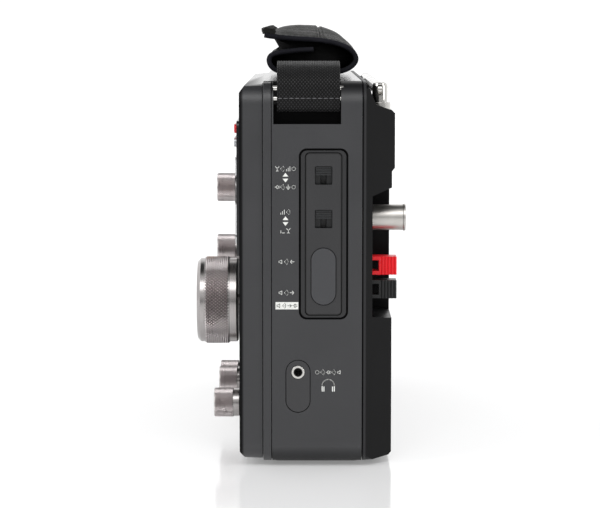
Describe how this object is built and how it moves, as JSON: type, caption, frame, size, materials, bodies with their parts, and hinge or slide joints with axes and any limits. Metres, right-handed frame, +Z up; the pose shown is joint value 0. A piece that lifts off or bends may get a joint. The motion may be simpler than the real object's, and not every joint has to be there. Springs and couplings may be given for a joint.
{
  "type": "portable radio receiver",
  "caption": "Upright table-top radio receiver with a speaker grille, knurled tuning knobs, side switches, a padded strap handle, a folding telescopic antenna and rear antenna terminals.",
  "frame": {"origin": "centre of the whole object in plan, on the surface its feet stand on", "axes": "+X to the right as the user faces the front, +Y from the front to the back, +Z up"},
  "size_m": [0.2972, 0.108, 0.2246],
  "materials": {
    "body_plastic": "fine spark-eroded texture",
    "rear_plastic": "satin",
    "trim_plastic": "gloss",
    "cover_rubber": "matt",
    "foot_rubber": "matt",
    "knob_metal": "turned and knurled",
    "button_silver": "satin silver",
    "red_plastic": "satin",
    "black_plastic": "satin",
    "antenna_chrome": "polished",
    "screw_steel": "zinc plated",
    "socket_metal": "nickel plated",
    "contact_brass": "plated",
    "display_glass": "clear",
    "display_backlight": "lit",
    "circuit_board": "solder mask",
    "speaker_steel": "painted",
    "magnet_steel": "plain",
    "cone_paper": "pressed paper",
    "grille_metal": "satin",
    "ferrite": "sintered",
    "coil_wire": "enamelled copper",
    "cell_sleeve": "shrink sleeve",
    "webbing": "woven",
    "grip_leather": "grained"
  },
  "bodies": {
    "cabinet": {"front_cabinet": "body_plastic", "middle_frame": "body_plastic", "right_end_panel": "body_plastic", "left_end_panel": "body_plastic", "rear_cabinet": "rear_plastic", "feet": "foot_rubber", "case_screws": "screw_steel", "switch_plate": "body_plastic", "headphone_plate": "body_plastic", "headphone_jack": "socket_metal", "line_out_jacks": "socket_metal", "slide_switch_bodies": "black_plastic", "dc_jack": "black_plastic", "display_panel": "trim_plastic", "display_lens": "display_glass", "lcd_module": "display_backlight", "rotary_controls": "magnet_steel", "control_board": "circuit_board", "main_board": "circuit_board", "shield_can": "socket_metal", "ferrite_rod": "ferrite", "ferrite_coil": "coil_wire", "speaker_grille": "grille_metal", "speaker_frame": "speaker_steel", "speaker_magnet": "magnet_steel", "speaker_cone": "cone_paper", "battery_cells": "cell_sleeve", "battery_contacts": "socket_metal", "antenna_socket": "antenna_chrome", "antenna_clip": "black_plastic", "coax_socket": "socket_metal", "coax_contact": "contact_brass", "terminal_block": "black_plastic", "handle_pins": "antenna_chrome", "strap_right": "webbing", "strap_left": "webbing"},
    "antenna_switch": {"antenna_switch_slider": "black_plastic"},
    "sensitivity_switch": {"sensitivity_switch_slider": "black_plastic"},
    "line_out_flap": {"line_out_cover": "cover_rubber"},
    "battery_lid": {"battery_door": "rear_plastic"},
    "power_key": {"power_button": "red_plastic"},
    "band_key": {"band_button": "button_silver"},
    "memory_key": {"memory_button": "button_silver"},
    "scan_key": {"scan_button": "button_silver"},
    "step_key": {"step_button": "button_silver"},
    "tuning": {"tuning_knob": "knob_metal"},
    "volume": {"volume_knob": "knob_metal"},
    "bass": {"bass_knob": "knob_metal"},
    "treble": {"treble_knob": "knob_metal"},
    "bandwidth": {"bandwidth_knob": "knob_metal"},
    "fine_tuning": {"fine_tuning_knob": "knob_metal"},
    "swivel": {"antenna_swivel": "antenna_chrome"},
    "mast_1": {"antenna_tube_1": "antenna_chrome"},
    "mast_2": {"antenna_tube_2": "antenna_chrome"},
    "mast_3": {"antenna_tube_3": "antenna_chrome"},
    "mast_4": {"antenna_tube_4": "antenna_chrome"},
    "mast_5": {"antenna_rod": "antenna_chrome"},
    "red_lever": {"red_terminal_lever": "red_plastic"},
    "black_lever": {"black_terminal_lever": "black_plastic"},
    "handle": {"handle_grip": "grip_leather"}
  },
  "joints": [
    {"name": "tuning_turn", "type": "hinge", "parent": "cabinet", "child": "tuning", "pos_m": [0.1, -0.0312, 0.0804], "axis": [0, -1, 0], "continuous": true},
    {"name": "volume_turn", "type": "hinge", "parent": "cabinet", "child": "volume", "pos_m": [0.101, -0.0312, 0.026], "axis": [0, -1, 0], "range_deg": [-150, 150]},
    {"name": "bass_turn", "type": "hinge", "parent": "cabinet", "child": "bass", "pos_m": [0.0034, -0.0312, 0.026], "axis": [0, -1, 0], "range_deg": [-150, 150]},
    {"name": "treble_turn", "type": "hinge", "parent": "cabinet", "child": "treble", "pos_m": [0.026, -0.0312, 0.026], "axis": [0, -1, 0], "range_deg": [-150, 150]},
    {"name": "bandwidth_turn", "type": "hinge", "parent": "cabinet", "child": "bandwidth", "pos_m": [0.048, -0.0312, 0.136], "axis": [0, -1, 0], "range_deg": [-150, 150]},
    {"name": "fine_tuning_turn", "type": "hinge", "parent": "cabinet", "child": "fine_tuning", "pos_m": [0.048, -0.0312, 0.1025], "axis": [0, -1, 0], "range_deg": [-150, 150]},
    {"name": "power_press", "type": "slide", "parent": "cabinet", "child": "power_key", "axis": [0, 1, 0], "range_m": [0, 0.0009], "stiffness_N_per_m": 300, "springref_m": -0.001},
    {"name": "band_press", "type": "slide", "parent": "cabinet", "child": "band_key", "axis": [0, 1, 0], "range_m": [0, 0.0009], "stiffness_N_per_m": 300, "springref_m": -0.001},
    {"name": "memory_press", "type": "slide", "parent": "cabinet", "child": "memory_key", "axis": [0, 1, 0], "range_m": [0, 0.0009], "stiffness_N_per_m": 300, "springref_m": -0.001},
    {"name": "scan_press", "type": "slide", "parent": "cabinet", "child": "scan_key", "axis": [0, 1, 0], "range_m": [0, 0.0009], "stiffness_N_per_m": 300, "springref_m": -0.001},
    {"name": "step_press", "type": "slide", "parent": "cabinet", "child": "step_key", "axis": [0, 1, 0], "range_m": [0, 0.0009], "stiffness_N_per_m": 300, "springref_m": -0.001},
    {"name": "antenna_switch_slide", "type": "slide", "parent": "cabinet", "child": "antenna_switch", "axis": [0, 0, -1], "range_m": [0, 0.0044]},
    {"name": "sensitivity_switch_slide", "type": "slide", "parent": "cabinet", "child": "sensitivity_switch", "axis": [0, 0, -1], "range_m": [0, 0.0044]},
    {"name": "line_out_cover_open", "type": "hinge", "parent": "cabinet", "child": "line_out_flap", "pos_m": [0.1486, 0.01135, 0.0836], "axis": [0, 1, 0], "range_deg": [0, 110]},
    {"name": "battery_door_open", "type": "hinge", "parent": "cabinet", "child": "battery_lid", "pos_m": [-0.0789, 0.0464, 0.0143], "axis": [-1, 0, 0], "range_deg": [0, 100]},
    {"name": "antenna_swivel_turn", "type": "hinge", "parent": "cabinet", "child": "swivel", "pos_m": [0.126, 0.0402, 0.1915], "axis": [0, 0, 1], "range_deg": [-180, 0]},
    {"name": "antenna_raise", "type": "hinge", "parent": "swivel", "child": "mast_1", "pos_m": [0.126, 0.0402, 0.1915], "axis": [0, 1, 0], "range_deg": [0, 90]},
    {"name": "mast_2_extend", "type": "slide", "parent": "mast_1", "child": "mast_2", "axis": [-1, 0, 0], "range_m": [0, 0.2]},
    {"name": "mast_3_extend", "type": "slide", "parent": "mast_2", "child": "mast_3", "axis": [-1, 0, 0], "range_m": [0, 0.2]},
    {"name": "mast_4_extend", "type": "slide", "parent": "mast_3", "child": "mast_4", "axis": [-1, 0, 0], "range_m": [0, 0.2]},
    {"name": "mast_5_extend", "type": "slide", "parent": "mast_4", "child": "mast_5", "axis": [-1, 0, 0], "range_m": [0, 0.2]},
    {"name": "red_lever_press", "type": "slide", "parent": "cabinet", "child": "red_lever", "axis": [0, -1, 0], "range_m": [0, 0.003], "stiffness_N_per_m": 300, "springref_m": -0.002},
    {"name": "black_lever_press", "type": "slide", "parent": "cabinet", "child": "black_lever", "axis": [0, -1, 0], "range_m": [0, 0.003], "stiffness_N_per_m": 300, "springref_m": -0.002},
    {"name": "handle_lift", "type": "slide", "parent": "cabinet", "child": "handle", "axis": [0, 0, 1], "range_m": [0, 0.014], "deforming": ["strap_right", "strap_left"]}
  ]
}
